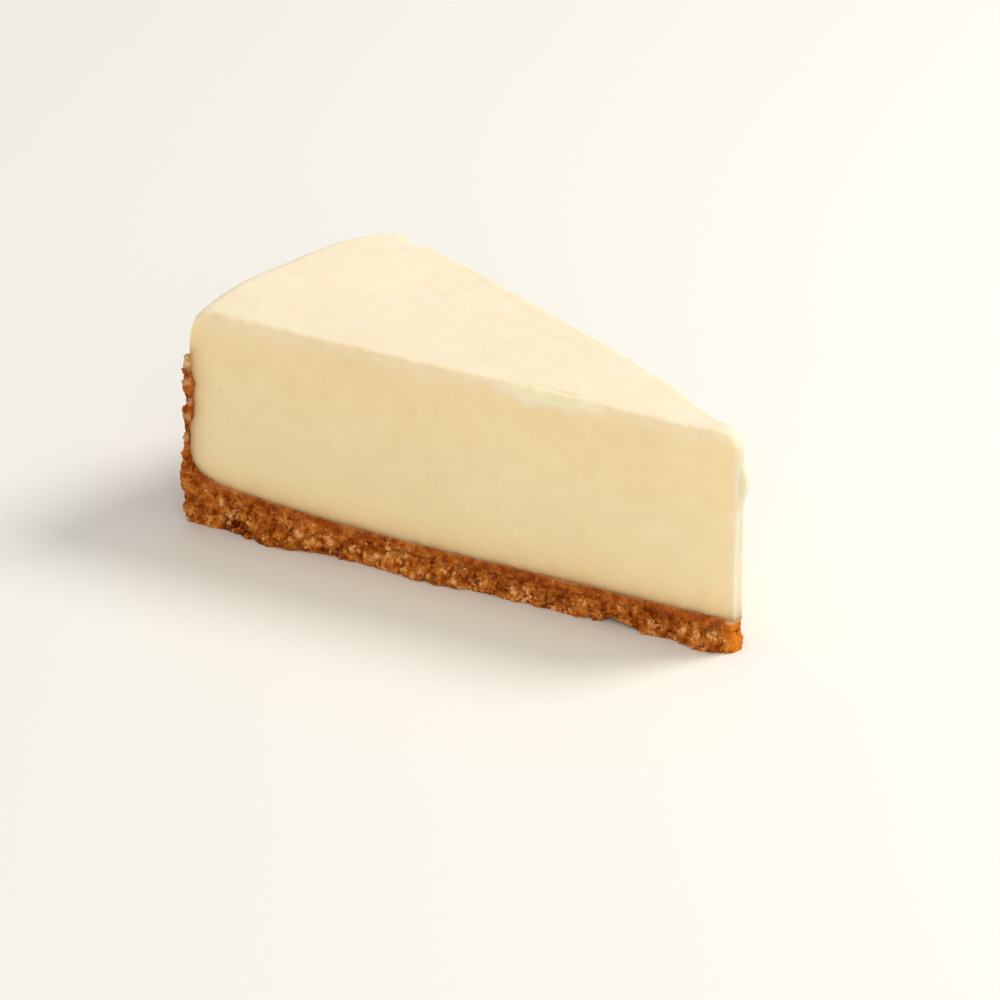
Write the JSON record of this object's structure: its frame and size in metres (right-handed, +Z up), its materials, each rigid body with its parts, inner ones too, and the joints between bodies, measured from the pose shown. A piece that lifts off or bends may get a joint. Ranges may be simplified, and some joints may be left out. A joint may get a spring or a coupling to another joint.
{
  "type": "baked cheesecake slice",
  "caption": "Wedge of baked cheesecake: a deep pale filling with a smooth top on a crumb base that turns up into a thin crumb wall at the rim.",
  "frame": {"origin": "on the surface the slice stands on, under the middle of its box", "axes": "+X along the slice towards its tip, +Y across it towards the cut that bows outwards, +Z up"},
  "size_m": [0.1241, 0.0585, 0.0464],
  "materials": {
    "toasted_crumb": "rough, granular, baked golden brown",
    "baked_cream": "smooth, dense, satin cream"
  },
  "bodies": {
    "root": {"crumb_crust": "toasted_crumb", "baked_filling": "baked_cream"}
  },
  "joints": []
}
